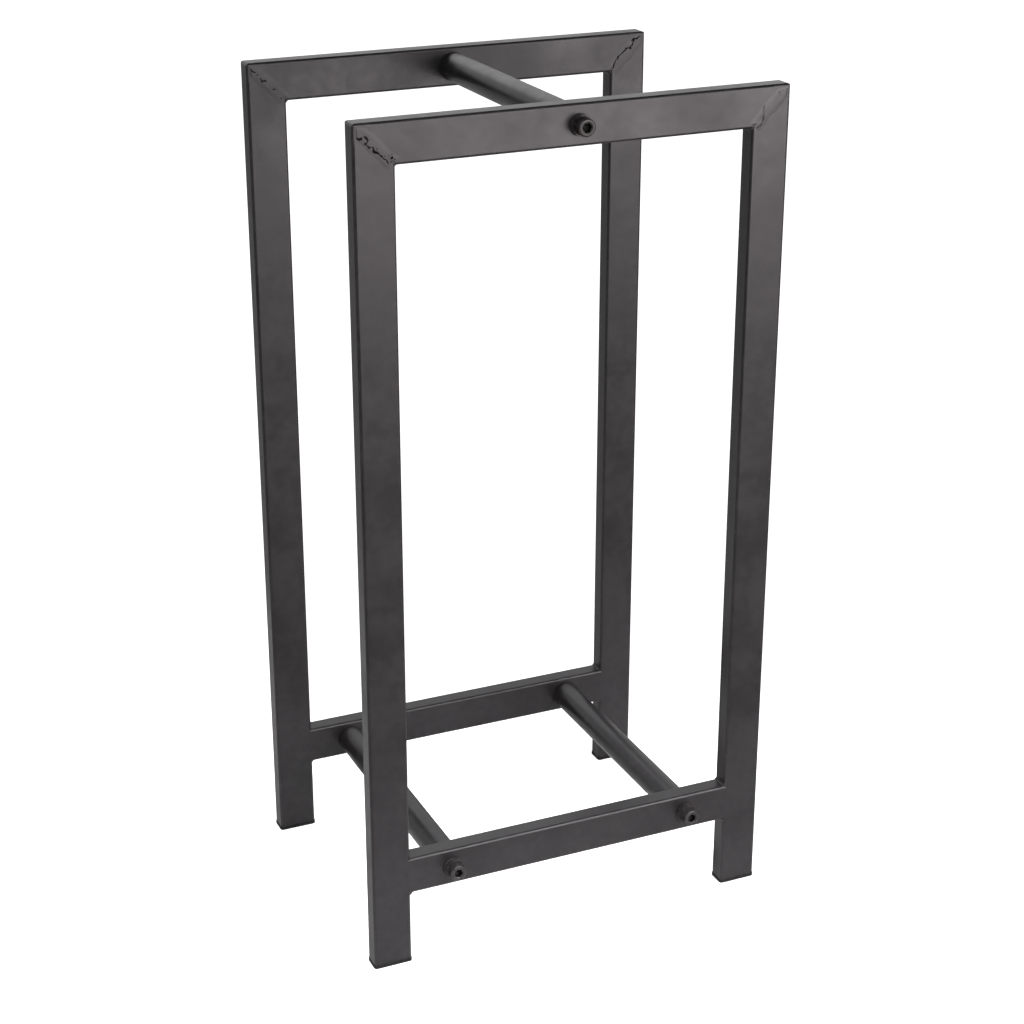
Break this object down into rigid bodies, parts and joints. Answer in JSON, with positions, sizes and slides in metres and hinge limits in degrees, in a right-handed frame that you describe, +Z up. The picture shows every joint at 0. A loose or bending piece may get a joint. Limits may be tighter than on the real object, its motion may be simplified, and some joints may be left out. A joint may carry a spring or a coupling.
{
  "type": "firewood log rack",
  "caption": "Tall narrow free-standing log rack: two welded rectangular-tube frames held apart by round spacer tubes with socket-head screws.",
  "frame": {"origin": "on the floor, under the middle of the rack", "axes": "+X across the rack to the right as seen from the front, +Y from the front frame to the rear frame, +Z up"},
  "size_m": [0.331, 0.2632, 0.65],
  "materials": {
    "powder_coated_steel": "satin charcoal-black powder coat",
    "blackened_steel": "black oxide, lightly oiled",
    "zinc_plated_steel": "bright zinc plate",
    "black_plastic": "matt moulded polyethylene"
  },
  "bodies": {
    "root": {"bottom_left_spacer": "powder_coated_steel", "bottom_right_spacer": "powder_coated_steel", "front_bottom_left_insert": "zinc_plated_steel", "front_bottom_left_screw": "blackened_steel", "front_bottom_left_spring_washer": "blackened_steel", "front_bottom_left_washer": "blackened_steel", "front_bottom_rail": "powder_coated_steel", "front_bottom_right_insert": "zinc_plated_steel", "front_bottom_right_screw": "blackened_steel", "front_bottom_right_spring_washer": "blackened_steel", "front_bottom_right_washer": "blackened_steel", "front_left_foot": "black_plastic", "front_left_leg": "powder_coated_steel", "front_left_mitre_weld": "powder_coated_steel", "front_left_rail_weld": "powder_coated_steel", "front_right_foot": "black_plastic", "front_right_leg": "powder_coated_steel", "front_right_mitre_weld": "powder_coated_steel", "front_right_rail_weld": "powder_coated_steel", "front_top_insert": "zinc_plated_steel", "front_top_rail": "powder_coated_steel", "front_top_screw": "blackened_steel", "front_top_spring_washer": "blackened_steel", "front_top_washer": "blackened_steel", "rear_bottom_left_insert": "zinc_plated_steel", "rear_bottom_left_screw": "blackened_steel", "rear_bottom_left_spring_washer": "blackened_steel", "rear_bottom_left_washer": "blackened_steel", "rear_bottom_rail": "powder_coated_steel", "rear_bottom_right_insert": "zinc_plated_steel", "rear_bottom_right_screw": "blackened_steel", "rear_bottom_right_spring_washer": "blackened_steel", "rear_bottom_right_washer": "blackened_steel", "rear_left_foot": "black_plastic", "rear_left_leg": "powder_coated_steel", "rear_left_mitre_weld": "powder_coated_steel", "rear_left_rail_weld": "powder_coated_steel", "rear_right_foot": "black_plastic", "rear_right_leg": "powder_coated_steel", "rear_right_mitre_weld": "powder_coated_steel", "rear_right_rail_weld": "powder_coated_steel", "rear_top_insert": "zinc_plated_steel", "rear_top_rail": "powder_coated_steel", "rear_top_screw": "blackened_steel", "rear_top_spring_washer": "blackened_steel", "rear_top_washer": "blackened_steel", "top_spacer": "powder_coated_steel"}
  },
  "joints": []
}
